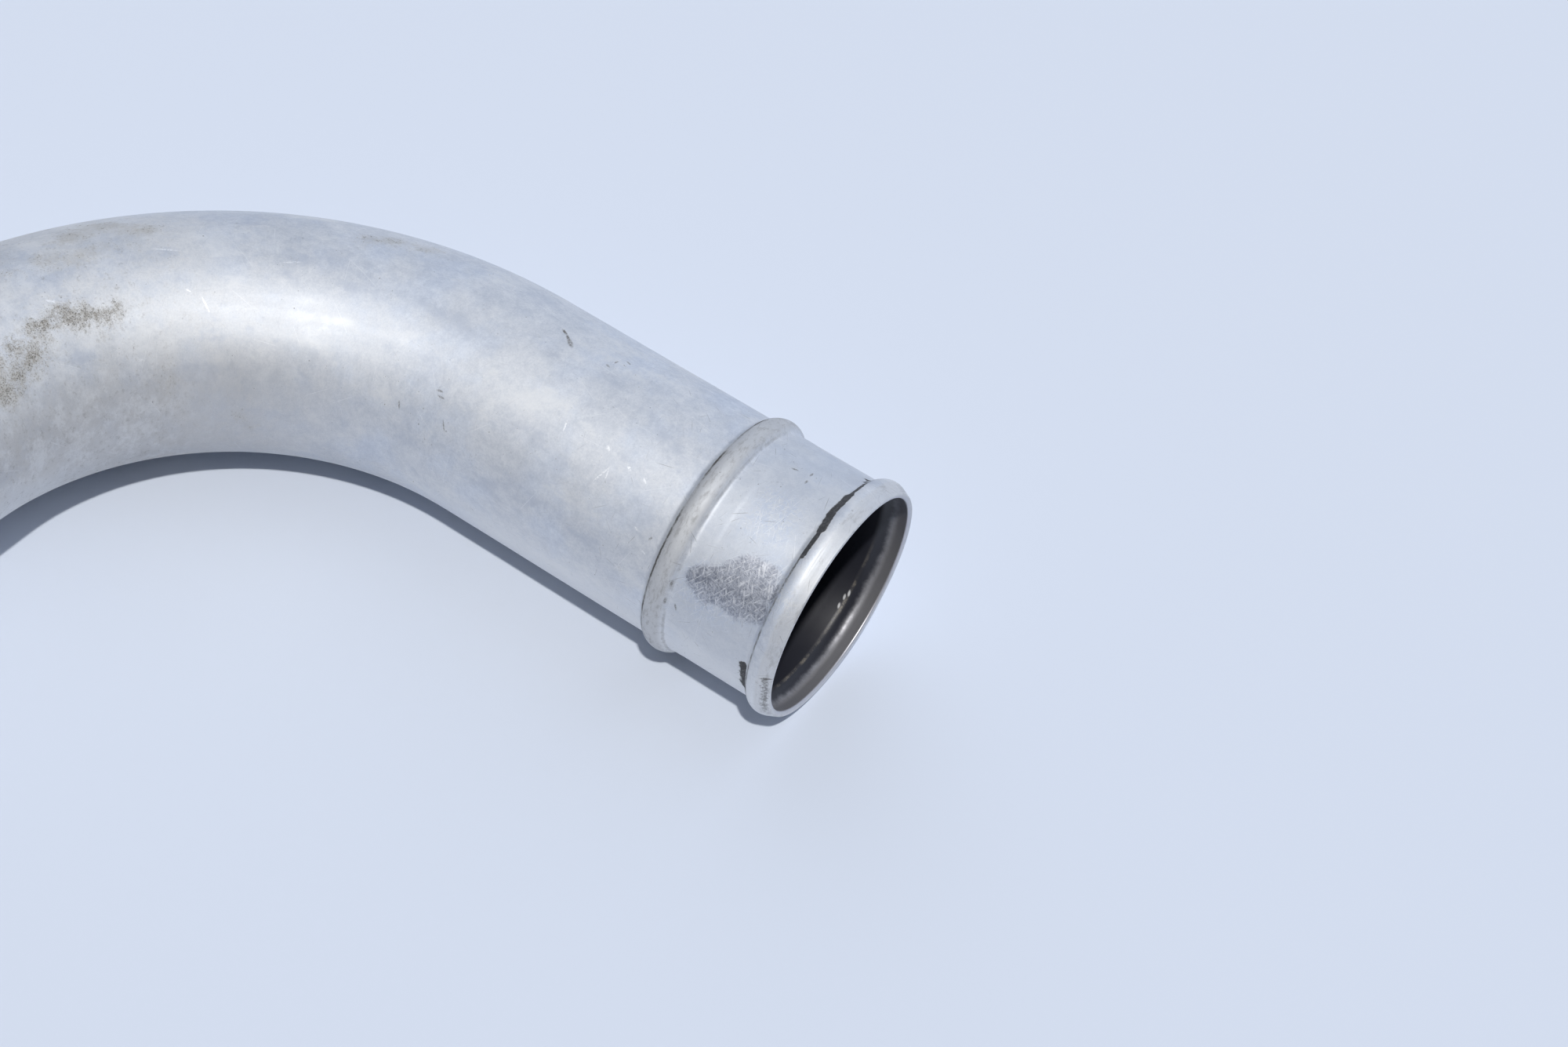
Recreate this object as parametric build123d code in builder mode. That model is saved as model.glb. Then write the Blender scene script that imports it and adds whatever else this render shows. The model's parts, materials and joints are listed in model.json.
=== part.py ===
"""Bent aluminium charge air pipe with a beaded hose end at each mouth.

The tube is one piece: two straight legs joined by one flat bend. Each leg ends in a hose seat between two
rolled beads. A hose is pushed over the end bead up to the stop bead, and its clamp sits on the seat between them.
The beads are rolled out of the wall, so the bore has a groove under each one.

Frame: the origin is the centre of the front mouth, and the front leg's axis points out of it along +X.
The bend lies in the XY plane with +Z up, and the rear mouth faces -Y. Millimetres.
"""

import os
from math import cos, radians, sin, sqrt, tan

from build123d import *

# Tube and bend
tube_od = 60.0
wall = 1.5
bend_radius = 100.0
bend_angle = 90.0
front_length = 100.0
rear_length = 80.0

# End bead and its tapered lip, set back from the mouth
end_bead_setback = 4.2
end_bead_height = 2.0
end_bead_crest_radius = 4.0
end_bead_root_radius = 1.2
lip_taper = 24.0
lip_edge_radius = 0.45

# Stop bead
stop_bead_setback = 34.3
stop_bead_height = 2.0
stop_bead_crest_radius = 4.0
stop_bead_root_radius = 1.2


def bead_points(setback, height, crest_radius, root_radius, depth):
    """Ends of the root and crest arcs of a bead, on the surface that lies depth under the outer skin.

    The arcs meet tangent to each other and to the tube. Root and crest swap depth, so both skins share one width.
    """
    surface = tube_od / 2 - depth
    reach = crest_radius + root_radius
    half_width = sqrt(2 * height * reach - height**2)
    share = (crest_radius - depth) / reach
    meet_offset = half_width * share
    meet_radius = surface + height - crest_radius + depth + (reach - height) * share
    near_root = (setback - half_width, surface)
    near_meet = (setback - meet_offset, meet_radius)
    far_meet = (setback + meet_offset, meet_radius)
    far_root = (setback + half_width, surface)
    return near_root, near_meet, far_meet, far_root


def hose_end_line(leg_length, depth):
    """Line of one skin of a leg, from its mouth to the bend, with X along the leg and Y as the radius."""
    crest_radius = end_bead_crest_radius - depth
    crest_centre = tube_od / 2 + end_bead_height - end_bead_crest_radius
    taper = radians(lip_taper)
    lip_end = (
        end_bead_setback - crest_radius * sin(taper),
        crest_centre + crest_radius * cos(taper),
    )
    mouth_edge = (0, lip_end[1] - lip_end[0] * tan(taper))
    end_bead = bead_points(
        end_bead_setback, end_bead_height, end_bead_crest_radius, end_bead_root_radius, depth
    )
    stop_bead = bead_points(
        stop_bead_setback, stop_bead_height, stop_bead_crest_radius, stop_bead_root_radius, depth
    )

    lip = Line(mouth_edge, lip_end)
    end_crest = TangentArc(lip_end, end_bead[2], tangent=lip % 1)
    end_root = TangentArc(end_bead[2], end_bead[3], tangent=end_crest % 1)
    seat = Line(end_bead[3], stop_bead[0])
    near_root = TangentArc(stop_bead[0], stop_bead[1], tangent=seat % 1)
    crest = TangentArc(stop_bead[1], stop_bead[2], tangent=near_root % 1)
    TangentArc(stop_bead[2], stop_bead[3], tangent=crest % 1)
    plain = Line(stop_bead[3], (leg_length, tube_od / 2 - depth))
    return lip @ 0, plain @ 1


def hose_leg(mouth, leg_length):
    """Straight leg with its beads and bore, its wall section turned about the X direction of the mouth's plane."""
    with BuildSketch(mouth) as section:
        with BuildLine():
            outer_mouth, outer_end = hose_end_line(leg_length, 0)
            inner_mouth, inner_end = hose_end_line(leg_length, wall)
            Line(outer_mouth, inner_mouth)
            Line(outer_end, inner_end)
        make_face()
        lip_corners = section.vertices().group_by(Axis.X)[0]
        fillet(lip_corners, radius=lip_edge_radius)
    revolve(section.sketch, axis=Axis(mouth.origin, mouth.x_dir))


# Places along the centre line: the bend runs from the front leg round its centre to the rear leg
turn = radians(bend_angle)
bend_centre = Vector(-front_length, -bend_radius, 0)
bend_end = bend_centre + Vector(-sin(turn), cos(turn), 0) * bend_radius
rear_inward = Vector(cos(turn), sin(turn), 0)
rear_mouth_centre = bend_end - rear_inward * rear_length
front_mouth = Plane(origin=(0, 0, 0), x_dir=(-1, 0, 0), z_dir=(0, 1, 0))
rear_mouth = Plane(origin=rear_mouth_centre, x_dir=rear_inward, z_dir=rear_inward.cross(Vector(0, 0, 1)))

with BuildPart() as charge_air_pipe:
    hose_leg(front_mouth, front_length)
    hose_leg(rear_mouth, rear_length)
    with BuildSketch(Plane(origin=(-front_length, 0, 0), x_dir=(0, 1, 0), z_dir=(-1, 0, 0))):
        Circle(tube_od / 2)
        Circle(tube_od / 2 - wall, mode=Mode.SUBTRACT)
    revolve(axis=Axis(bend_centre, (0, 0, 1)), revolution_arc=bend_angle)

charge_air_pipe.part.label = "charge_air_pipe"
os.makedirs("parts", exist_ok=True)
export_step(charge_air_pipe.part, "parts/charge_air_pipe.step")
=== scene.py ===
# %% [markdown]
# # A bent aluminium charge air pipe
#
# A charge air pipe carries compressed air from a turbocharger towards the engine. This one is a single
# aluminium tube with one bend. Each end is a hose seat between two rolled beads, and years under a bonnet
# have left it cloudy, scratched and grimy. The lesson builds the tube as one thin skin, gives it a wall,
# and then spends most of its length on the finish, because bare metal is only as convincing as its dirt.
#
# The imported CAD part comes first. It fixes the frame and the sizes, so the main measures are read from
# its record and not typed again.

import json
import math

import bmesh
import bpy
import numpy as np
from mathutils import Matrix, Vector, noise
from mathutils.bvhtree import BVHTree


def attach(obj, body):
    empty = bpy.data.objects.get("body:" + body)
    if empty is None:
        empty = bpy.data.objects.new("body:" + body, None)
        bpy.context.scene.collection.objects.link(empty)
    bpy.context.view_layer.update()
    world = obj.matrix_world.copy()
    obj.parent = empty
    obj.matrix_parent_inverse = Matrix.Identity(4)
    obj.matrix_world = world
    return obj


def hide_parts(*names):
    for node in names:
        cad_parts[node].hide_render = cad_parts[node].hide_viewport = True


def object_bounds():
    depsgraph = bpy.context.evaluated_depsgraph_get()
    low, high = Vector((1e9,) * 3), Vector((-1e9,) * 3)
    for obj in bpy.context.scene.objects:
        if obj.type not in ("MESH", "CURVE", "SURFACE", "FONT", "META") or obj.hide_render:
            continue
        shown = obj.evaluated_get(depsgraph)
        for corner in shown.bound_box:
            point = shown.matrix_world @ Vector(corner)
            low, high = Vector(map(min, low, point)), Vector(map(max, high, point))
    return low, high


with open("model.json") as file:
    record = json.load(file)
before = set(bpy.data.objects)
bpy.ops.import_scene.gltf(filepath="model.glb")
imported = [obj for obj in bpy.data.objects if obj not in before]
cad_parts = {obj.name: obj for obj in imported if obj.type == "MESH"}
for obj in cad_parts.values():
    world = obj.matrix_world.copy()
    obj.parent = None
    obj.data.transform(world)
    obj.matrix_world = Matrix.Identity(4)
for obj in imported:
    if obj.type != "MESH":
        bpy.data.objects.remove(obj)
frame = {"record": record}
cad_low, cad_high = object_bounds()
mounts = {mount["name"]: mount for mount in frame["record"]["mounts"]}

MM = 0.001
tube_radius = mounts["front_hose_seat"]["dims"]["r_mm"] * MM
wall = tube_radius - mounts["front_bore"]["dims"]["r_mm"] * MM
rear_mouth = Vector(mounts["rear_hose_seat"]["pos_m"])
bead_height = cad_high.z - tube_radius
print(f"tube {2 * tube_radius / MM:.1f} mm outside, wall {wall / MM:.2f} mm")
print(f"beads {bead_height / MM:.2f} mm high")

# %% [markdown]
# ## The camera
#
# A photograph can be matched by eye, but a pipe is a good subject for a calculation: its outline, its
# mouth and its shadow fix the camera almost completely. The values below come from such a fit. The camera
# looks at the front mouth from a yaw, an elevation and a roll, at a known distance, and the mouth's
# centre falls on a known pixel.

# %% Place the camera
photo_width = 2000
photo_height = 1335
sensor_width = 36.0
camera_yaw = math.radians(23.774)
camera_elevation = math.radians(45.808)
camera_roll = math.radians(13.175)
mouth_distance = 0.62629
focal_pixels = 3353.2
mouth_pixel = (1075.17, 773.54)
nearest_seen = 0.01

level_right = Vector((math.cos(camera_yaw), math.sin(camera_yaw), 0))
level_ahead = Vector((-math.sin(camera_yaw), math.cos(camera_yaw), 0))
straight_up = Vector((0, 0, 1))
sight = math.cos(camera_elevation) * level_ahead - math.sin(camera_elevation) * straight_up
level_up = math.sin(camera_elevation) * level_ahead + math.cos(camera_elevation) * straight_up
camera_right = math.cos(camera_roll) * level_right + math.sin(camera_roll) * level_up
camera_up = math.cos(camera_roll) * level_up - math.sin(camera_roll) * level_right


def pixel_ray(pixel):
    """Direction from the camera through a pixel of the photo."""
    across = (pixel[0] - photo_width / 2) / focal_pixels
    down = (pixel[1] - photo_height / 2) / focal_pixels
    return sight + camera_right * across - camera_up * down


camera_place = -mouth_distance * pixel_ray(mouth_pixel)
camera_data = bpy.data.cameras.new("photo_camera")
camera_data.sensor_width = sensor_width
camera_data.lens = focal_pixels / photo_width * sensor_width
camera_data.clip_start = nearest_seen
camera = bpy.data.objects.new("photo_camera", camera_data)
bpy.context.scene.collection.objects.link(camera)
turn_rows = Matrix((camera_right, camera_up, -sight)).transposed()
camera.matrix_world = Matrix.Translation(camera_place) @ turn_rows.to_4x4()
bpy.context.scene.camera = camera
print(f"camera at {tuple(round(c, 3) for c in camera_place)}, lens {camera_data.lens:.1f} mm")

# %% [markdown]
# ## The hose end's profile
#
# A bead is rolled into the wall between two wheels. Its section is a crest arc between two smaller root
# arcs, all tangent. A formula for the skin's radius at any distance from the mouth describes the whole
# hose end: the tapered lip, the end bead, the seat and the stop bead. The same formula then places every
# ring of the mesh.

# %% Radius of the skin along a hose end
end_bead_setback = 4.2 * MM
stop_bead_setback = 34.3 * MM
crest_radius = 4.0 * MM
root_radius = 1.2 * MM
lip_taper = math.radians(24)
lip_edge = 0.45 * MM
shoulder_start = 25.6 * MM

bead_reach = crest_radius + root_radius
bead_half_width = math.sqrt(2 * bead_height * bead_reach - bead_height**2)
crest_half_width = bead_half_width * crest_radius / bead_reach
lip_length = end_bead_setback - crest_radius * math.sin(lip_taper)


def bead_rise(offset):
    """Height of a bead above the tube, at an offset from its middle."""
    offset = abs(offset)
    if offset < crest_half_width:
        return bead_height - crest_radius + math.sqrt(crest_radius**2 - offset**2)
    if offset < bead_half_width:
        return root_radius - math.sqrt(root_radius**2 - (bead_half_width - offset) ** 2)
    return 0.0


def skin_radius(setback):
    """Radius of the outer skin at a distance from its mouth."""
    if setback < lip_length:
        shortfall = (lip_length - setback) * math.tan(lip_taper)
        return tube_radius + bead_rise(end_bead_setback - lip_length) - shortfall
    return tube_radius + bead_rise(setback - end_bead_setback) + bead_rise(setback - stop_bead_setback)


def leg_setbacks(leg_length, fine=0.42 * MM, coarse=2.8 * MM):
    """Ring places from a mouth to the bend, close together on the lip, the shoulder and the beads."""
    places = [0.0]
    while places[-1] < leg_length - coarse:
        here = places[-1]
        on_end_bead = here < end_bead_setback + bead_half_width
        on_shoulder = shoulder_start - coarse / 2 < here < stop_bead_setback + bead_half_width
        places.append(here + (fine if on_end_bead or on_shoulder else coarse))
    return places + [leg_length]


front_length = 100 * MM
bend_radius = 100 * MM
rear_length = -rear_mouth.y - bend_radius
front_setbacks = leg_setbacks(front_length)
rear_setbacks = leg_setbacks(rear_length)
print(f"{len(front_setbacks)} rings on the front leg, {len(rear_setbacks)} on the rear leg")

# %% [markdown]
# ## The skin
#
# The tube could be a bevelled curve, but then the beads would need a second object. Here one ring of
# edges at the front mouth is extruded ring by ring through the profile, spun about the bend's centre, and
# extruded again out to the rear mouth. Every quad follows the tube, so later patterns can follow it too.

# %% Extrude the front leg, spin the bend, extrude the rear leg
ring_steps = 192
bend_steps = 56
merge_distance = 0.01 * MM
bend_centre = Vector((-front_length, -bend_radius, 0))


def extend_ring(skin, ring, step, growth, centre):
    """Extrudes a ring of edges by one step, then scales the new ring about its centre."""
    made = bmesh.ops.extrude_edge_only(skin, edges=ring)["geom"]
    new_verts = [item for item in made if isinstance(item, bmesh.types.BMVert)]
    fresh = set(new_verts)
    bmesh.ops.translate(skin, verts=new_verts, vec=step)
    bmesh.ops.scale(skin, verts=new_verts, vec=(growth,) * 3, space=Matrix.Translation(-centre))
    edges = [item for item in made if isinstance(item, bmesh.types.BMEdge)]
    return [edge for edge in edges if fresh.issuperset(edge.verts)]


def run_leg(skin, ring, mouth, outward, setbacks):
    """Extrudes a ring through a list of setbacks measured from a mouth."""
    for here, there in zip(setbacks, setbacks[1:]):
        growth = skin_radius(there) / skin_radius(here)
        ring = extend_ring(skin, ring, outward * (here - there), growth, mouth - outward * there)
    return ring


skin = bmesh.new()
upright = Matrix.Rotation(math.pi / 2, 4, "Y")
bmesh.ops.create_circle(skin, cap_ends=False, segments=ring_steps, radius=skin_radius(0), matrix=upright)
ring = run_leg(skin, list(skin.edges), Vector(), Vector((1, 0, 0)), front_setbacks)
bend = bmesh.ops.spin(
    skin, geom=ring, cent=bend_centre, axis=(0, 0, 1), angle=math.pi / 2, steps=bend_steps, use_merge=False
)
ring = [item for item in bend["geom_last"] if isinstance(item, bmesh.types.BMEdge)]
run_leg(skin, ring, rear_mouth, Vector((0, -1, 0)), rear_setbacks[::-1])
bmesh.ops.remove_doubles(skin, verts=skin.verts, dist=merge_distance)
bmesh.ops.recalc_face_normals(skin, faces=skin.faces)
print(f"skin of {len(skin.verts)} points and {len(skin.faces)} quads")

# %% [markdown]
# ## Places on the tube
#
# Dirt and scratches follow the tube, not the room. So each point needs its place on the tube: how far
# along the centre line it lies, how far around, and which way is out. The sum is done once, in one
# function, and everything that comes later asks it.

# %% Where a point lies on the tube
bend_length = bend_radius * math.pi / 2
pipe_length = front_length + bend_length + rear_length


def tube_place(point):
    """Distance along the centre line, angle around it and outward direction at a point of the tube."""
    spoke = point - bend_centre
    if spoke.x >= 0:
        along = -point.x
        level_out = Vector((0, 1, 0))
        centre = Vector((point.x, 0, 0))
    elif spoke.y <= 0:
        along = front_length + bend_length - spoke.y
        level_out = Vector((-1, 0, 0))
        centre = Vector((rear_mouth.x, point.y, 0))
    else:
        turn = math.atan2(-spoke.x, spoke.y)
        along = front_length + bend_radius * turn
        level_out = Vector((-math.sin(turn), math.cos(turn), 0))
        centre = bend_centre + level_out * bend_radius
    out = point - centre
    around = math.atan2(out.z, out.dot(level_out))
    return along, around, out.normalized()


print(f"centre line {pipe_length / MM:.1f} mm long")

# %% [markdown]
# ## Small faults of form
#
# No used pipe is a perfect surface of revolution. The wall is a little wavy, the beads were rolled a
# little unevenly, and hose clamps left a faint shoulder on the seat. All of it stays within a tenth or
# two of a millimetre, enough to break up the reflections without changing the part.

# %% Make the skin a little uneven
wave_height = 0.05 * MM
waves_per_metre = 38
ripple_share = 0.15
ripples_per_metre = 130
bead_unevenness = 0.14 * MM
bead_waves_per_metre = 75
bead_wave_shift = Vector((3, 1, 7))
shoulder_height = 0.07 * MM
shoulder_slant = 1.3 * MM
shoulder_softness = 0.25 * MM
even_mouth = 2 * MM


def soft_step(value, low, high):
    """Runs smoothly from 0 at low to 1 at high."""
    share = min(max((value - low) / (high - low), 0.0), 1.0)
    return share * share * (3 - 2 * share)


def unevenness(along, around):
    """How far a point of the skin stands proud of its true place."""
    setback = min(along, pipe_length - along)
    round_place = Vector((along, tube_radius * math.cos(around), tube_radius * math.sin(around)))
    rise = wave_height * noise.noise(round_place * waves_per_metre)
    rise += wave_height * ripple_share * noise.noise(round_place * ripples_per_metre)
    bead = max(bead_rise(setback - end_bead_setback), bead_rise(setback - stop_bead_setback)) / bead_height
    rise += bead_unevenness * bead * noise.noise(round_place * bead_waves_per_metre + bead_wave_shift)
    edge = shoulder_start + shoulder_slant * (1 - math.sin(around))
    inner_end = soft_step(setback, edge - shoulder_softness, edge + shoulder_softness)
    outer_end = 1 - soft_step(setback, stop_bead_setback - bead_half_width, stop_bead_setback)
    return rise + shoulder_height * inner_end * outer_end


for vert in skin.verts:
    along, around, out = tube_place(vert.co)
    at_mouth = soft_step(min(along, pipe_length - along), 0, even_mouth)
    vert.co += out * unevenness(along, around) * at_mouth
print(f"skin made uneven by up to {max(wave_height, bead_unevenness) / MM:.2f} mm")

# %% [markdown]
# ## The wall
#
# Solidify turns the skin into a thin wall, and because it follows the beads, the bore gets a groove under
# each one, as rolling leaves it. The two sharp rims at each mouth are then bevelled, since a bare tube
# end is always deburred.

# %% Give the skin its wall and round the lips
sharp_rim = math.radians(50)
lip_rounding = 3

bore_mark = skin.verts.layers.float.new("bore")
outer_verts = set(skin.verts)
bmesh.ops.solidify(skin, geom=skin.faces[:], thickness=wall)
for vert in skin.verts:
    vert[bore_mark] = 0.0 if vert in outer_verts else 1.0
rims = [edge for edge in skin.edges if edge.calc_face_angle(0) > sharp_rim]
bmesh.ops.bevel(
    skin,
    geom=rims,
    offset=lip_edge,
    segments=lip_rounding,
    profile=0.5,
    affect="EDGES",
    material=-1,
    clamp_overlap=True,
)
open_edges = sum(edge.is_boundary for edge in skin.edges)
print(f"wall of {len(skin.faces)} faces, {len(rims)} rim edges rounded, {open_edges} edges open")

# %% Turn it into a mesh object that rides on the part
pipe_mesh = bpy.data.meshes.new("charge_air_pipe_skin")
skin.to_mesh(pipe_mesh)
pipe_hits = BVHTree.FromBMesh(skin)
skin.free()
pipe_mesh.shade_smooth()
pipe = bpy.data.objects.new("charge_air_pipe_skin", pipe_mesh)
bpy.context.scene.collection.objects.link(pipe)
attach(pipe, "root")
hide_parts("charge_air_pipe")
print(f"pipe of {sum(len(face.vertices) - 2 for face in pipe_mesh.polygons)} triangles")

# %% [markdown]
# ## An unrolled map
#
# Scratches are easiest to draw on a flat sheet. The UV map unrolls the tube: one direction runs around
# it, the other along it, both in metres. The seam lies underneath, where the pipe rests. A second
# attribute keeps each point's place on the straightened tube, for patterns that need three dimensions and
# no seam.

# %% Unroll the tube and keep each point's straightened place
point_count = len(pipe_mesh.vertices)
points = np.array([vert.co for vert in pipe_mesh.vertices])
places = [tube_place(vert.co) for vert in pipe_mesh.vertices]
along = np.array([place[0] for place in places])
around = np.array([(place[1] + math.pi / 2) % math.tau for place in places])
bore = np.zeros(point_count)
pipe_mesh.attributes["bore"].data.foreach_get("value", bore)

straight = np.stack([along, tube_radius * np.cos(around), tube_radius * np.sin(around)], axis=1)
straight_field = pipe_mesh.attributes.new("straight", "FLOAT_VECTOR", "POINT")
straight_field.data.foreach_set("vector", straight.ravel())

unrolled = pipe_mesh.uv_layers.new(name="unrolled")
for face in pipe_mesh.polygons:
    angles = [around[index] for index in face.vertices]
    over_seam = max(angles) - min(angles) > math.pi
    for loop, index, angle in zip(face.loop_indices, face.vertices, angles):
        if over_seam and angle < math.pi:
            angle += math.tau
        unrolled.data[loop].uv = (angle * tube_radius, along[index])
print(f"unrolled sheet {math.tau * tube_radius / MM:.0f} by {pipe_length / MM:.0f} mm")

# %% [markdown]
# ## Marks placed from the photograph
#
# The marks that make this pipe this pipe sit at definite places. The camera is known, so a pixel of the
# photo names a ray, and the ray meets the skin at one point. Marks broader than a few millimetres are
# painted as soft spots into point attributes. The shader later breaks up their edges, so the mesh's own
# grid never shows.

# %% Find the skin behind a pixel and paint soft lines there
def skin_point(pixel):
    """Point of the pipe that the photo shows at a pixel."""
    return pipe_hits.ray_cast(camera_place, pixel_ray(pixel).normalized())[0]


def soft_line(pixels, reach, spacing=6):
    """Mask that is 1 on a line of pixels and falls to 0 at a reach from it, on the outer skin only."""
    mask = np.zeros(point_count)
    corners = [np.array(pixel) for pixel in pixels]
    for start, end in zip(corners, corners[1:]):
        steps = max(1, round(math.dist(start, end) / spacing))
        for step in range(steps + 1):
            spot = skin_point(start + (end - start) * step / steps)
            near = 1 - np.linalg.norm(points - np.array(spot), axis=1) / reach
            mask = np.maximum(mask, np.clip(near, 0, 1))
    return mask * mask * (3 - 2 * mask) * (1 - bore)


def keep_mask(name, *layers):
    """Stores the strongest of some masks as a point attribute."""
    field = pipe_mesh.attributes.new(name, "FLOAT", "POINT")
    mask = np.maximum.reduce(layers)
    field.data.foreach_set("value", mask)
    print(f"{name}: {100 * np.count_nonzero(mask > 0.5) / point_count:.1f}% of the points")


# %% Sandy grime and tan stains on the bend
grime_bank = [(2, 502), (18, 482), (38, 458), (54, 442)]
grime_tongue = [(50, 420), (72, 406), (100, 400), (122, 406), (140, 402)]
grime_edge = [(2, 458), (22, 442), (48, 430)]
grime_corner = [(2, 352), (10, 346)]
stain_crown = [(84, 306), (110, 292), (140, 288), (184, 294)]
stain_below = [(50, 330), (90, 332), (135, 316)]
stain_ridge = [(470, 306), (505, 308), (555, 320)]
stain_smudge = [(213, 470), (216, 490), (214, 512)]
stain_belly = [(303, 528), (318, 540)]

keep_mask(
    "grime",
    soft_line(grime_bank, 6.5 * MM),
    soft_line(grime_tongue, 6.0 * MM),
    0.8 * soft_line(grime_edge, 5.5 * MM),
    0.8 * soft_line(grime_corner, 3.5 * MM),
)
keep_mask(
    "stain",
    soft_line(stain_crown, 8 * MM),
    0.8 * soft_line(stain_below, 7 * MM),
    0.8 * soft_line(stain_ridge, 6 * MM),
    0.6 * soft_line(stain_smudge, 5 * MM),
    0.6 * soft_line(stain_belly, 5 * MM),
    soft_line(grime_bank, 11 * MM),
    0.8 * soft_line(grime_tongue, 9 * MM),
)

# %% Polished patch and rubber on the hose seat
polish_top = [(890, 738), (922, 736), (955, 722), (980, 734)]
polish_middle = [(900, 754), (940, 756), (978, 752)]
polish_foot = [(938, 774), (966, 780)]
polish_blue = [(985, 640), (1003, 652), (990, 676), (965, 668)]
rubber_thick = [(1083, 632), (1061, 654), (1048, 674)]
rubber_thin = [(1108, 613), (1083, 632), (1061, 654), (1044, 680), (1024, 708)]
rubber_blot = [(950, 848), (949, 874)]
lip_smear = [(976, 868), (976, 890), (974, 908)]
close_spacing = 3

keep_mask(
    "polish",
    soft_line(polish_top, 4.6 * MM),
    soft_line(polish_middle, 4.8 * MM),
    0.9 * soft_line(polish_foot, 4.8 * MM),
)
keep_mask("rubbed", soft_line(polish_middle, 14 * MM), 0.8 * soft_line(polish_blue, 9 * MM))
keep_mask(
    "rubber",
    soft_line(rubber_thick, 2.6 * MM, close_spacing),
    0.85 * soft_line(rubber_thin, 1.7 * MM, close_spacing),
    0.95 * soft_line(rubber_blot, 1.9 * MM, close_spacing),
)
keep_mask("smear", soft_line(lip_smear, 1.8 * MM, close_spacing))

# %% [markdown]
# ## Writing shader maths
#
# A finish is a sum of many small effects, and sums are easier to read as expressions than as drawn wires.
# The small class below wraps a node's output. Adding or multiplying two of them adds the Math node that
# does it, and one method makes every other kind of node.

# %% A wire that can be added and multiplied
class Wire:
    """An output of a shader node. Arithmetic on wires adds Math nodes."""

    def __init__(self, tree, socket=None):
        self.tree = tree
        self.socket = socket

    def node(self, kind, settings=None, inputs=None, output=0):
        """Adds a node, applies its settings, then its values and links, and returns one of its outputs."""
        made = self.tree.nodes.new("ShaderNode" + kind)
        for name, value in (settings or {}).items():
            setattr(made, name, value)
        for name, value in (inputs or {}).items():
            if isinstance(value, Wire):
                self.tree.links.new(value.socket, made.inputs[name])
            else:
                made.inputs[name].default_value = value
        return Wire(self.tree, made.outputs[output])

    def output(self, name):
        """Another output of the same node."""
        return Wire(self.tree, self.socket.node.outputs[name])

    def maths(self, operation, *values):
        """Adds a Math node."""
        return self.node("Math", {"operation": operation}, dict(enumerate(values)))

    def __add__(self, other):
        return self.maths("ADD", self, other)

    def __sub__(self, other):
        return self.maths("SUBTRACT", self, other)

    def __rsub__(self, other):
        return self.maths("SUBTRACT", other, self)

    def __mul__(self, other):
        return self.maths("MULTIPLY", self, other)

    __radd__ = __add__
    __rmul__ = __mul__


def fade(value, low, high):
    """0 at low, 1 at high and smooth between. It runs down where low is the larger."""
    limits = {"Value": value, "From Min": low, "From Max": high}
    return value.node("MapRange", {"interpolation_type": "SMOOTHSTEP"}, limits)


def strongest(mask, *others):
    """The largest of several masks at each point."""
    for other in others:
        mask = mask.maths("MAXIMUM", mask, other)
    return mask


def tint(under, over, mask):
    """One colour over another, where a mask says so."""
    return mask.node("Mix", {"data_type": "RGBA"}, {0: mask, 6: under, 7: over}, 2)


def grain(vector, scale, detail=2.0, roughness=0.5):
    """Soft cloudy noise from 0 to 1."""
    inputs = {"Vector": vector, "Scale": scale, "Detail": detail, "Roughness": roughness}
    return vector.node("TexNoise", None, inputs)


def stretched(vector, stretch):
    """A vector with each of its axes multiplied by its own number."""
    return vector.node("VectorMath", {"operation": "MULTIPLY"}, {0: vector, 1: stretch})


def shifted(vector, shift):
    """A vector moved by a fixed step, so that two patterns on it differ."""
    return vector.node("VectorMath", {"operation": "ADD"}, {0: vector, 1: shift})


def painted(graph, name):
    """One of the masks that were painted on the skin."""
    return graph.node("Attribute", {"attribute_name": name}, None, "Fac")


# %% [markdown]
# ## Scratches and pits
#
# A scratch is a thin straight line at some angle. A Voronoi texture cuts the unrolled sheet into random
# cells, and each cell gives a centre and random numbers. One number turns a line through the centre,
# another decides whether the cell has a scratch at all. Pits are simpler: small discs round the centres
# of a few cells.

# %% Patterns of scratches and pits
chance_edge = 0.02


def mosaic(vector, cell, dimensions):
    """Distance to the nearest cell centre of a random mosaic, the cell's random numbers, and its centre."""
    inputs = {"Vector": vector, "Scale": 1 / cell}
    spacing = vector.node("TexVoronoi", {"voronoi_dimensions": dimensions}, inputs, "Distance")
    chance = spacing.node("SeparateColor", None, {"Color": spacing.output("Color")})
    return spacing * cell, chance, spacing.output("Position")


def scratches(sheet, cell, width, share, lean=0.0, spread=math.pi):
    """Scratches in a share of the unrolled sheet's cells, turned at random within a spread round a lean."""
    spacing, chance, centre = mosaic(sheet, cell, "2D")
    angle = (chance - 0.5) * spread + lean
    offset = sheet.node("VectorMath", {"operation": "SUBTRACT"}, {0: sheet, 1: centre})
    across = offset.node("SeparateXYZ", None, {"Vector": offset})
    side = across * angle.maths("COSINE", angle) - across.output("Y") * angle.maths("SINE", angle)
    line = fade(side.maths("ABSOLUTE", side), width, width * 0.3)
    ends = fade(spacing, cell * 0.6, cell * 0.15)
    chosen = fade(chance.output("Green"), share, share - chance_edge)
    strength = 0.3 + 0.7 * chance.output("Blue")
    return line * ends * chosen * strength


def pits(place, cell, size, share):
    """Small dark pits in a share of the cells of a mosaic."""
    spacing, chance, _ = mosaic(place, cell, "3D")
    return fade(spacing, size, size * 0.4) * fade(chance, share, share - chance_edge)


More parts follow.
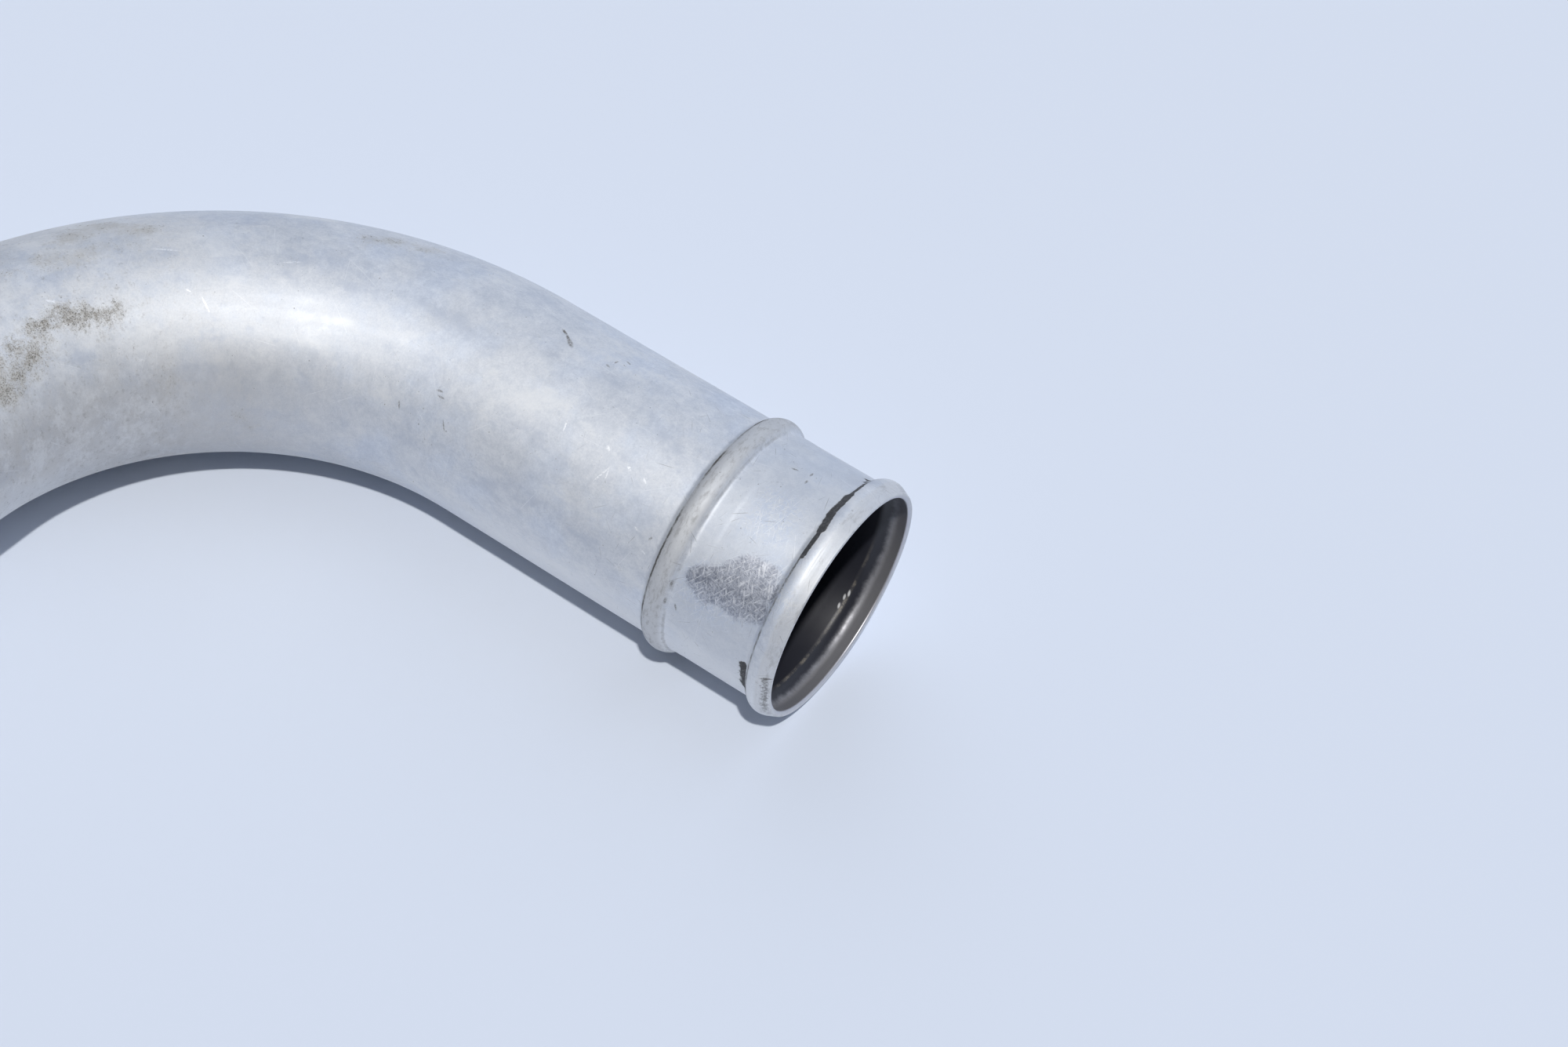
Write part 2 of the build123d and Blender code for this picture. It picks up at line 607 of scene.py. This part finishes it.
# %% [markdown]
# ## Oxidised aluminium
#
# Fresh aluminium is bright, and under a bonnet it clouds over: milky oxide blooms in patches, and fine
# freckles and dust break them up. One noise texture looks too even for that, so noises of several scales
# are added up to one cloud, which mixes a clean colour with a milky one. Every effect after it is a mask.
# Dirt lowers Metallic and raises Roughness, a scratch is brighter and smoother than the oxide, and the
# colour follows.

# %% Start the finish with the cloudy metal
clean_metal = (0.59, 0.605, 0.63, 1)
milky_oxide = (0.745, 0.745, 0.75, 1)
cool_shade_and_reflection = (0.565, 0.605, 0.68, 1)
cool_metal_and_reflection = (0.71, 0.745, 0.805, 1)
darker_grey = (0.50, 0.49, 0.485, 1)
tarnish_blue = (0.49, 0.53, 0.61, 1)
tarnish_white = (0.78, 0.785, 0.79, 1)


def new_finish(name):
    """A material with a principled shader, and a wire to start its graph from."""
    material = bpy.data.materials.new(name)
    material.use_nodes = True
    return material, Wire(material.node_tree), material.node_tree.nodes["Principled BSDF"]


def feed(shader, socket, wire):
    """Links a wire to one of the shader's sockets."""
    wire.tree.links.new(wire.socket, shader.inputs[socket])


def mixed(under, over, mask):
    """One number over another, where a mask says so."""
    return under + (over - under) * mask


def zone(distance, start, full, fading, end):
    """Mask that is 1 from full to fading, and 0 before start and past end, all in millimetres."""
    return fade(distance, start * MM, full * MM) * fade(distance, end * MM, fading * MM)


aluminium, graph, shader = new_finish("oxidised_aluminium")
place = graph.node("Attribute", {"attribute_name": "straight"}, None, "Vector")
sheet = graph.node("UVMap", {"uv_map": "unrolled"})
along_pipe = place.node("SeparateXYZ", None, {"Vector": place})
setback = along_pipe.maths("MINIMUM", along_pipe, pipe_length - along_pipe)
bore_side = painted(graph, "bore")
outside = 1 - bore_side

bloom = fade(grain(place, 48, 6, 0.62), 0.32, 0.70)
patches = fade(grain(shifted(place, (2, 5, 1)), 170, 5, 0.65), 0.34, 0.68)
freckle = grain(shifted(place, (7, 1, 3)), 560, 5, 0.75)
dust = grain(shifted(place, (1, 8, 4)), 1900, 2, 0.6)
drawn = grain(stretched(place, (14, 420, 420)), 1, 2)
cool = fade(grain(shifted(place, (9, 2, 6)), 60, 4, 0.6), 0.44, 0.68)
cloud = 0.30 * bloom + 0.30 * patches + 2.1 * (freckle - 0.42) + 1.1 * (dust - 0.5)
colour = tint(clean_metal, milky_oxide, cloud)
tarnish = grain(stretched(shifted(place, (5, 3, 8)), (0.6, 1, 1)), 85, 6, 0.7)
metallic = 0.72 - 0.07 * bloom - 0.05 * patches
roughness = 0.61 + 0.04 * bloom + 0.03 * patches + 0.20 * (freckle - 0.5) + 0.08 * (drawn - 0.5)
print(f"cloudy metal of {len(aluminium.node_tree.nodes)} nodes")

# %% [markdown]
# ## The weathered bend
#
# The finish changes along the pipe, and a bluish and white tarnish drifts over all of it. The legs are
# tinted cooler and bluer than the bend, a painted reflection of the blue surroundings. The lower inner
# side of the bend is darker, and the underside near the mouths is lighter, a painted light from the
# floor below. The bend's far half has weathered most, with white salts in patches and fine grey
# freckles between them. Soft zones along and around the pipe say where each of these goes, and noises
# cut them up.

# %% Dull inside and weathered half of the bend
white_salt = (0.74, 0.75, 0.765, 1)
painted_underside_light = (0.86, 0.865, 0.875, 1)
freckle_grey = (0.22, 0.215, 0.21, 1)

below_crown = fade(along_pipe.output("Y"), -0.75 * tube_radius, -0.25 * tube_radius)
inner_side = below_crown * fade(along_pipe.output("Z"), -0.2 * tube_radius, -0.6 * tube_radius)
bent_part = zone(along_pipe, 125, 205, 280, 330)
# Cool patches at random, and over the legs a blue tint that is painted reflection of the blue surroundings.
colour = tint(colour, tint(cool_shade_and_reflection, cool_metal_and_reflection, cloud), 0.55 * cool + 0.45 * (1 - bent_part))
colour = tint(colour, tarnish_blue, fade(tarnish, 0.52, 0.68) * 0.55)
colour = tint(colour, tarnish_white, fade(tarnish, 0.48, 0.32) * 0.55)
# The lower inner side of the bend is made darker.
darker_inside_part = zone(along_pipe, 105, 210, 280, 330)
darker_inside = inner_side * darker_inside_part * (0.65 + 0.35 * patches) * outside
colour = tint(colour, darker_grey, darker_inside * 0.75)
# Painted light: the underside near the mouths is made lighter, standing in for light from the floor.
painted_bright_underside = fade(along_pipe.output("Y"), -6 * MM, 14 * MM) * fade(setback, 135 * MM, 65 * MM) * outside
colour = tint(colour, painted_underside_light, painted_bright_underside * 0.8)

weathered = zone(along_pipe, 165, 212, 260, 310) * outside
salt = fade(grain(shifted(place, (4, 4, 9)), 150, 6, 0.78), 0.46, 0.64) * weathered
colour = tint(colour, white_salt, salt * 0.45)
metallic = mixed(metallic, 0.4, salt * 0.45)
freckles = fade(freckle, 0.52, 0.72) * weathered * (1 - 0.6 * salt)
colour = tint(colour, freckle_grey, freckles * 0.42)
print(f"weathering brings the finish to {len(aluminium.node_tree.nodes)} nodes")

# %% [markdown]
# ## Zones of a hose end
#
# Distance from the nearer mouth says which part of the hose end a point belongs to, so both ends get the
# same treatment. The lip was trimmed with a tool, and keeps fine lines that run round it. Rolling has
# left the crests of the beads grainy, and dirt has settled in thin uneven lines beside them, where no
# cloth reaches.

# %% Lip, rolled crests and dirt beside the beads
trimmed_lip = (0.64, 0.64, 0.645, 1)
rolled_crest = (0.55, 0.555, 0.565, 1)
seat_blue = (0.56, 0.59, 0.64, 1)
crest_grey = (0.40, 0.40, 0.405, 1)
root_dirt = (0.075, 0.07, 0.065, 1)
behind_stop_bead = 36.7 * MM
before_stop_bead = 31.0 * MM
behind_end_bead = 6.7 * MM

lip = fade(setback, 4.2 * MM, 3.2 * MM) * outside
turned = grain(stretched(place, (2600, 60, 60)), 1, 3)
colour = tint(colour, trimmed_lip, lip * (0.55 + 0.5 * (turned - 0.5)))
lip_mottle = fade(grain(stretched(place, (420, 150, 150)), 1, 5, 0.75), 0.50, 0.68) * lip
colour = tint(colour, crest_grey, lip_mottle * 0.55)
roughness = mixed(roughness, 0.60 + 0.25 * (turned - 0.5), lip)

seat = zone(setback, 7, 9, 29, 31) * outside
colour = tint(colour, seat_blue, seat * (1 - painted_bright_underside) * 0.40)

off_crest = setback - stop_bead_setback
crest = fade(off_crest.maths("ABSOLUTE", off_crest), 3.6 * MM, 1.8 * MM) * outside
rolled = grain(stretched(place, (900, 300, 300)), 1, 5, 0.75)
colour = tint(colour, rolled_crest, crest * 0.75)
colour = tint(colour, crest_grey, crest * fade(rolled, 0.48, 0.66) * 0.7)
roughness = mixed(roughness, 0.70 + 0.3 * (rolled - 0.5), crest)


def dirt_line(middle, width, strength, seed, cover=0.40):
    """Thin uneven line of dirt round the pipe at a setback. A lower cover leaves fewer gaps in it."""
    patchy = fade(grain(shifted(place, (seed, 0, 0)), 85, 5, 0.7), cover, cover + 0.24)
    ragged = grain(shifted(place, (0, seed, 0)), 900, 4, 0.7)
    gap = setback - middle + (ragged - 0.5) * 0.6 * MM
    return fade(gap.maths("ABSOLUTE", gap), width, width * 0.25) * patchy * strength * outside


root_lines = strongest(
    dirt_line(behind_stop_bead, 0.46 * MM, 1.0, 0.3, 0.34),
    dirt_line(before_stop_bead, 0.45 * MM, 0.35, 1.1),
    dirt_line(behind_end_bead, 0.42 * MM, 0.9, 2.4, 0.30),
)
colour = tint(colour, root_dirt, root_lines)
metallic = mixed(metallic, 0.1, root_lines)
print(f"hose ends bring the finish to {len(aluminium.node_tree.nodes)} nodes")

# %% [markdown]
# ## Wear
#
# On the seat the hose has polished one patch smoother, with a blue haze round it, and covered both with
# fine scratches. The patch's colour is also darker and bluer, a painted reflection of the dark
# surroundings. Elsewhere there are sparse hairlines in all directions, dark hairs that hold dirt, mostly
# near the ends, and small dark pits. Clean scratches are brighter than the oxide round them, since they
# cut through to metal.

# %% Polished patch, hairlines and pits
polished_reflection_grey = (0.47, 0.485, 0.535, 1)
polished_shade = (0.31, 0.325, 0.37, 1)
rubbed_blue = (0.47, 0.535, 0.66, 1)
scratch_and_glint_white = (0.90, 0.905, 0.92, 1)
pit_grey = (0.16, 0.155, 0.15, 1)
rub_lean = math.radians(70)
rub_spread = math.radians(100)


def brushed(sheet, angle, fineness):
    """Fine broken streaks on the unrolled sheet, at an angle to the way round the tube."""
    turned_sheet = sheet.node("Mapping", None, {"Vector": sheet, "Rotation": (0, 0, math.radians(angle))})
    return fade(grain(stretched(turned_sheet, (fineness / 8, fineness, 1)), 1, 3, 0.65), 0.52, 0.66)


hairlines = strongest(
    scratches(sheet, 9 * MM, 0.11 * MM, 0.24),
    scratches(shifted(sheet, (0.4, 0.1, 0)), 15 * MM, 0.10 * MM, 0.22),
)
rubbing = strongest(
    scratches(shifted(sheet, (0.2, 0.7, 0)), 4.6 * MM, 0.11 * MM, 0.9, rub_lean, rub_spread),
    scratches(shifted(sheet, (0.9, 0.3, 0)), 3.1 * MM, 0.10 * MM, 0.9, rub_lean, rub_spread),
    scratches(shifted(sheet, (0.5, 0.9, 0)), 2.0 * MM, 0.09 * MM, 0.9, rub_lean, rub_spread),
    scratches(shifted(sheet, (0.1, 0.4, 0)), 1.1 * MM, 0.09 * MM, 0.9),
)
streaks = strongest(brushed(sheet, 20, 2000), brushed(sheet, -35, 2300), brushed(sheet, 70, 2600) * 0.7)

rubbed = painted(graph, "rubbed")
haze = fade(freckle + 0.6 * (dust - 0.5), 0.40, 0.60) * fade(rubbed, 0.1, 0.8) * outside
colour = tint(colour, rubbed_blue, haze * 0.5)
ragged_edge = 0.5 * (grain(place, 420, 5, 0.8) - 0.5) - 0.25 * rubbing - 0.20 * streaks
polish_reach = painted(graph, "polish")
polish = fade(polish_reach + ragged_edge, 0.06, 0.48) * outside
# Painted reflection: the polished patch's colour is darker and bluer, standing in for the dark surroundings.
polished = tint(polished_reflection_grey, polished_shade, fade(freckle + 0.8 * (dust - 0.5), 0.38, 0.62))
colour = tint(colour, polished, polish)
metallic = mixed(metallic, 1.0, polish)
roughness = mixed(roughness, 0.40, polish)

rubbed = rubbed * (1 - 0.25 * polish)
scratched = strongest(
    hairlines * 0.4,
    rubbing * (0.05 + 0.6 * rubbed),
    streaks * (0.6 * polish + 0.12 * rubbed),
)
scratched = scratched * outside
colour = tint(colour, scratch_and_glint_white, scratched * 0.85)
metallic = mixed(metallic, 0.5, scratched)
roughness = mixed(roughness, 0.55, scratched)

near_end = fade(setback, 75 * MM, 38 * MM)
dark_hairs = strongest(
    scratches(shifted(sheet, (0.7, 0.2, 0)), 3.3 * MM, 0.10 * MM, 0.30),
    scratches(shifted(sheet, (0.3, 0.6, 0)), 5.2 * MM, 0.10 * MM, 0.35),
)
dark_hairs = dark_hairs * (0.10 + 0.40 * near_end * fade(patches, 0.2, 0.8)) * (1 - polish) * outside
colour = tint(colour, pit_grey, dark_hairs)

pit_clusters = fade(bloom, 0.7, 0.2)
pitting = strongest(
    pits(place, 3.4 * MM, 0.30 * MM, 0.20),
    pits(shifted(place, (3, 3, 3)), 1.5 * MM, 0.20 * MM, 0.30) * pit_clusters,
    pits(place, 0.9 * MM, 0.12 * MM, 0.30) * (0.15 + 0.5 * pit_clusters),
)
pitting = pitting * outside * fade(freckle, 0.40, 0.55)
colour = tint(colour, pit_grey, pitting * 0.6)
print(f"wear brings the finish to {len(aluminium.node_tree.nodes)} nodes")

# %% [markdown]
# ## Single marks
#
# A few marks are too thin for the mesh and too particular for a random pattern. Each is a short stroke on
# the unrolled sheet, from one pixel of the photo to another. A Mapping node moves, turns and squeezes the
# sheet until the stroke becomes a disc of radius one, so its tapered shape costs only three nodes.

# %% Strokes between two pixels
stroke_core = 0.35


def sheet_place(pixel):
    """Place on the unrolled sheet of the skin behind a pixel."""
    along, around, _ = tube_place(skin_point(pixel))
    return Vector((((around + math.pi / 2) % math.tau) * tube_radius, along, 0))


def strokes(sheet, pixel_pairs, width):
    """Mask of some strokes of one width, each a slim ellipse from one pixel to another."""
    nearest = None
    for start_pixel, end_pixel in pixel_pairs:
        start = sheet_place(start_pixel)
        run = sheet_place(end_pixel) - start
        reach = (run.length / 2 + width, width, 1)
        turn = (0, 0, math.atan2(run.y, run.x))
        inputs = {"Vector": sheet, "Location": start + run / 2, "Rotation": turn, "Scale": reach}
        ellipse = sheet.node("Mapping", {"vector_type": "TEXTURE"}, inputs)
        gap = ellipse.node("VectorMath", {"operation": "LENGTH"}, {0: ellipse}, "Value")
        nearest = gap if nearest is None else gap.maths("MINIMUM", gap, nearest)
    return fade(nearest, 1.0, stroke_core)


# %% The bright scratches and dark marks of this pipe
bend_scratches = [
    ((190, 317), (230, 320)),
    ((236, 368), (245, 373)),
    ((256, 376), (268, 400)),
    ((359, 335), (386, 334)),
]
leg_scratches = [
    ((755, 615), (780, 594)),
    ((771, 612), (777, 598)),
    ((724, 535), (718, 551)),
    ((817, 700), (823, 707)),
]
bright_dabs = [
    ((57, 383), (74, 385)),
    ((176, 459), (184, 460)),
    ((775, 569), (777, 574)),
    ((801, 593), (804, 600)),
]
bright_nicks = [((821, 609), (824, 617)), ((810, 671), (813, 677)), ((687, 410), (690, 411))]
gouge_tip = [((718, 420), (723, 427)), ((723, 427), (726, 434))]
gouge_foot = [((725, 432), (729, 442))]
dark_specks = [
    ((774, 465), (777, 468)),
    ((784, 463), (788, 461)),
    ((800, 461), (804, 465)),
    ((828, 688), (831, 686)),
]
dark_dashes = [
    ((557, 497), (565, 500)),
    ((558, 504), (567, 509)),
    ((565, 535), (567, 551)),
    ((509, 511), (509, 521)),
]
seat_specks = [((1033, 607), (1037, 604)), ((1027, 616), (1030, 613)), ((1010, 597), (1018, 600))]
root_specks = [((858, 740), (855, 748)), ((849, 762), (847, 770)), ((861, 770), (862, 778))]
lip_crack = [((968, 865), (986, 866))]
scratch_width = 0.32 * MM
dab_width = 0.50 * MM
speck_width = 0.38 * MM
gouge_width = 0.55 * MM
gouge_foot_width = 0.85 * MM

torn = fade(grain(place, 2400, 3, 0.65), 0.36, 0.58)
bright = strokes(sheet, bend_scratches + leg_scratches + bright_nicks, scratch_width) * 0.8
bright = strongest(bright, strokes(sheet, bright_dabs, dab_width) * 0.85) * torn * outside
dark = strokes(sheet, dark_specks + dark_dashes + seat_specks + root_specks, speck_width)
gouge = strokes(sheet, gouge_tip, gouge_width)
gouge = strongest(gouge, strokes(sheet, gouge_foot, gouge_foot_width) * 0.8)
crack = strokes(sheet, lip_crack, speck_width)
dark = strongest(dark * 0.75, gouge, crack) * (0.35 + 0.65 * torn) * outside
colour = tint(colour, scratch_and_glint_white, bright)
roughness = mixed(roughness, 0.45, bright)
colour = tint(colour, pit_grey, dark)
metallic = mixed(metallic, 0.3, dark)
print(f"single marks bring the finish to {len(aluminium.node_tree.nodes)} nodes")

# %% [markdown]
# ## Dirt
#
# Sandy grime lies on the bend in grains and black grit, with a tan film between them, so fine noises cut
# its soft mask into specks. Tan stains are thinner, and only tint the metal. Where the hose was pulled
# off, strips of black rubber stayed in the corner of the end bead, and a dark smear on the lip.

# %% Stains, grime and rubber
tan_stain = (0.47, 0.452, 0.42, 1)
sandy_grime = (0.275, 0.255, 0.228, 1)
black_grit = (0.05, 0.048, 0.042, 1)
black_rubber = (0.042, 0.042, 0.045, 1)
grey_rubber = (0.11, 0.11, 0.115, 1)

blotch = grain(place, 230, 6, 0.72)
sand = grain(place, 1500, 3, 0.75)
stain_reach = painted(graph, "stain")
stain = fade(stain_reach * 0.7 + 1.5 * (blotch - 0.5) + 0.5 * (sand - 0.5), 0.18, 0.95) * outside
colour = tint(colour, tan_stain, stain * 0.66)
metallic = mixed(metallic, 0.45, stain)
stain_grains = fade(sand + 0.5 * (blotch - 0.5), 0.60, 0.70) * fade(stain_reach, 0.1, 0.8) * outside
colour = tint(colour, pit_grey, stain_grains * 0.6)

smear = fade(painted(graph, "smear") * 0.8 + 2.4 * (sand - 0.5) + 1.2 * (blotch - 0.5), 0.35, 0.95) * outside
colour = tint(colour, root_dirt, smear * 0.6)

grime_reach = painted(graph, "grime")
specks = grain(shifted(place, (6, 6, 1)), 2800, 3, 0.7)
ragged_grime = grime_reach * 0.62 + 2.0 * (blotch - 0.5)
film = fade(ragged_grime + 0.9 * (sand - 0.5), 0.15, 1.0) * fade(grime_reach, 0, 0.3) * outside
colour = tint(colour, tan_stain, film * 0.85)
grime = fade(ragged_grime + 2.2 * (sand - 0.5), 0.45, 1.0) * fade(grime_reach, 0, 0.3) * outside
colour = tint(colour, sandy_grime, grime * 0.55)
grit = fade(specks + 0.22 * ragged_grime, 0.65, 0.74) * fade(grime_reach, 0.0, 0.4) * outside
colour = tint(colour, black_grit, grit * 0.62)
grime = strongest(film * 0.7, grime, grit)
metallic = mixed(metallic, 0.1, grime)
roughness = mixed(roughness, 0.85, grime)

torn_rubber = 0.55 * (grain(place, 800, 4, 0.65) - 0.5)
rubber = fade(painted(graph, "rubber") + torn_rubber, 0.40, 0.56) * outside
colour = tint(colour, tint(black_rubber, grey_rubber, fade(sand, 0.45, 0.7)), rubber)
metallic = mixed(metallic, 0.0, rubber)
roughness = mixed(roughness, 0.7, rubber)
print(f"dirt brings the finish to {len(aluminium.node_tree.nodes)} nodes")

# %% [markdown]
# ## The bore
#
# Charge air carries a mist of oil, and the bore of a used pipe is nearly black with it. The colour here
# also darkens with depth from the mouth, a painted shade deep in the tube. Only a band behind the lip is
# wiped grey by fitting the hose. Along the groove under the end bead, on the lower side, a brown line is
# partly dried crust and partly a painted highlight on the groove's edge, and three painted glints sit
# beside it.

# %% Oily bore with a wiped lip
wiped_grey = (0.54, 0.54, 0.58, 1)
soot_and_shade_black = (0.018, 0.019, 0.027, 1)
brown_crust_and_highlight = (0.15, 0.135, 0.115, 1)
wiped_until = 3.0 * MM
soot_and_shade_from = 6.0 * MM
crust_highlight_setback = 7.6 * MM
painted_bore_glints = [((1069, 775), (1071, 769)), ((1076, 764), (1078, 758)), ((1082, 760), (1084, 753))]
painted_glint_width = 0.42 * MM

wiped_edge = setback + (blotch - 0.5) * 2.5 * MM
# Painted shade, partly real soot: the coating runs from the wiped grey to near black deeper in the bore.
soot_and_shade_depth = fade(wiped_edge, wiped_until, soot_and_shade_from)
coating = tint(wiped_grey, soot_and_shade_black, soot_and_shade_depth)
low_side = fade(along_pipe.output("Y"), 2 * MM, 22 * MM)
# Partly dried crust, partly painted highlight: a lighter brown line on the edge of the groove.
crust_highlight_line = setback - crust_highlight_setback + (blotch - 0.5) * 0.7 * MM
crust_and_highlight = fade(crust_highlight_line.maths("ABSOLUTE", crust_highlight_line), 0.55 * MM, 0.15 * MM)
crust_and_highlight = crust_and_highlight * (0.10 + 0.90 * fade(blotch, 0.44, 0.64)) * fade(sand, 0.32, 0.50) * low_side
# Painted glints: three small bright strokes in the bore.
painted_glints = strokes(sheet, painted_bore_glints, painted_glint_width) * bore_side
coating = tint(coating, brown_crust_and_highlight, crust_and_highlight)
coating = tint(coating, scratch_and_glint_white, painted_glints * 0.55)
colour = tint(colour, coating, bore_side)
metallic = mixed(metallic, 0.75 - 0.65 * soot_and_shade_depth, bore_side)
roughness = mixed(roughness, 0.45 + 0.15 * (blotch - 0.5), bore_side)
print(f"bore brings the finish to {len(aluminium.node_tree.nodes)} nodes")

# %% Relief, and the finished shader
relief_strength = 0.35
relief_height = 0.06 * MM

relief = 0.9 * freckle + 0.6 * drawn - 1.2 * pitting - 0.8 * scratched
relief = relief + 1.5 * grime + 2.0 * rubber - 2.5 * dark
bump = {"Strength": relief_strength, "Distance": relief_height, "Height": relief}
surface = graph.node("Bump", None, bump, "Normal")
feed(shader, "Base Color", colour)
feed(shader, "Metallic", metallic)
feed(shader, "Roughness", roughness)
feed(shader, "Normal", surface)
pipe_mesh.materials.append(aluminium)
print(f"finished aluminium of {len(aluminium.node_tree.nodes)} nodes")

# %% [markdown]
# ## Floor and light
#
# The pipe lies on a pale blue sheet. One hard lamp high behind the camera throws the crisp shadow. Metal
# shows what stands round it, so the surroundings matter as much as the lamp: pale walls behind the pipe
# and a dark side towards the viewer make its grey band, and a white card that only reflections see makes
# its soft shine. The camera itself sees a plain backdrop.

# %% Floor
floor_blue = (0.68, 0.73, 0.825, 1)
floor_reach = 4.0
floor_squares = 8
floor_roughness = 0.6
floor_gloss = 0.2

floor_sheet = bmesh.new()
bmesh.ops.create_grid(floor_sheet, x_segments=floor_squares, y_segments=floor_squares, size=floor_reach)
bmesh.ops.translate(floor_sheet, verts=floor_sheet.verts, vec=(0, 0, cad_low.z))
floor_mesh = bpy.data.meshes.new("floor")
floor_sheet.to_mesh(floor_mesh)
floor_sheet.free()
floor = bpy.data.objects.new("floor", floor_mesh)
bpy.context.scene.collection.objects.link(floor)

floor_finish, _, floor_shader = new_finish("pale_floor")
floor_shader.inputs["Base Color"].default_value = floor_blue
floor_shader.inputs["Roughness"].default_value = floor_roughness
floor_shader.inputs["Specular IOR Level"].default_value = floor_gloss
floor_mesh.materials.append(floor_finish)
print(f"floor at {cad_low.z / MM:.1f} mm")

# %% Lamp and surroundings
key_azimuth = math.radians(296.8)
key_elevation = math.radians(60.56)
key_strength = 2.38
key_warmth = (1.0, 0.985, 0.955)
key_angle = math.radians(2.0)
bright_azimuth = math.radians(85)
bright_elevation = math.radians(30)
bright_edges = (0.0, 0.85)
bright_walls = (0.63, 0.71, 0.86, 1)
dark_side = (0.012, 0.015, 0.02, 1)
card_azimuth = math.radians(243)
card_elevation = math.radians(40)
card_edges = (0.80, 0.96)
card_white = (0.88, 0.92, 1.0, 1)
backdrop_blue = (0.65, 0.73, 0.87, 1)


def towards(azimuth, elevation):
    """Unit vector in a direction given by its bearing and height."""
    level = math.cos(elevation)
    return Vector((math.cos(azimuth) * level, math.sin(azimuth) * level, math.sin(elevation)))


key_data = bpy.data.lights.new("key", "SUN")
key_data.energy = key_strength
key_data.color = key_warmth
key_data.angle = key_angle
key = bpy.data.objects.new("key", key_data)
key.rotation_euler = towards(key_azimuth, key_elevation).to_track_quat("Z", "Y").to_euler()
bpy.context.scene.collection.objects.link(key)

world = bpy.data.worlds.new("pale_room")
world.use_nodes = True
bpy.context.scene.world = world
sky = Wire(world.node_tree)
direction = sky.node("TexCoord", None, None, "Generated")


def lean_towards(azimuth, elevation):
    """Cosine of the angle between the looked-at direction and a fixed one."""
    pair = {0: direction, 1: towards(azimuth, elevation)}
    return direction.node("VectorMath", {"operation": "DOT_PRODUCT"}, pair, "Value")


camera_ray = sky.node("LightPath", None, None, "Is Camera Ray")
glossy_ray = camera_ray.output("Is Glossy Ray")
brightness = fade(lean_towards(bright_azimuth, bright_elevation), *bright_edges)
room = tint(dark_side, bright_walls, brightness)
card = fade(lean_towards(card_azimuth, card_elevation), *card_edges) * glossy_ray
room = tint(room, card_white, card)
feed(world.node_tree.nodes["Background"], "Color", tint(room, backdrop_blue, camera_ray))
bpy.context.scene.view_settings.view_transform = "Standard"
print("lamp towards", tuple(round(c, 2) for c in towards(key_azimuth, key_elevation)))
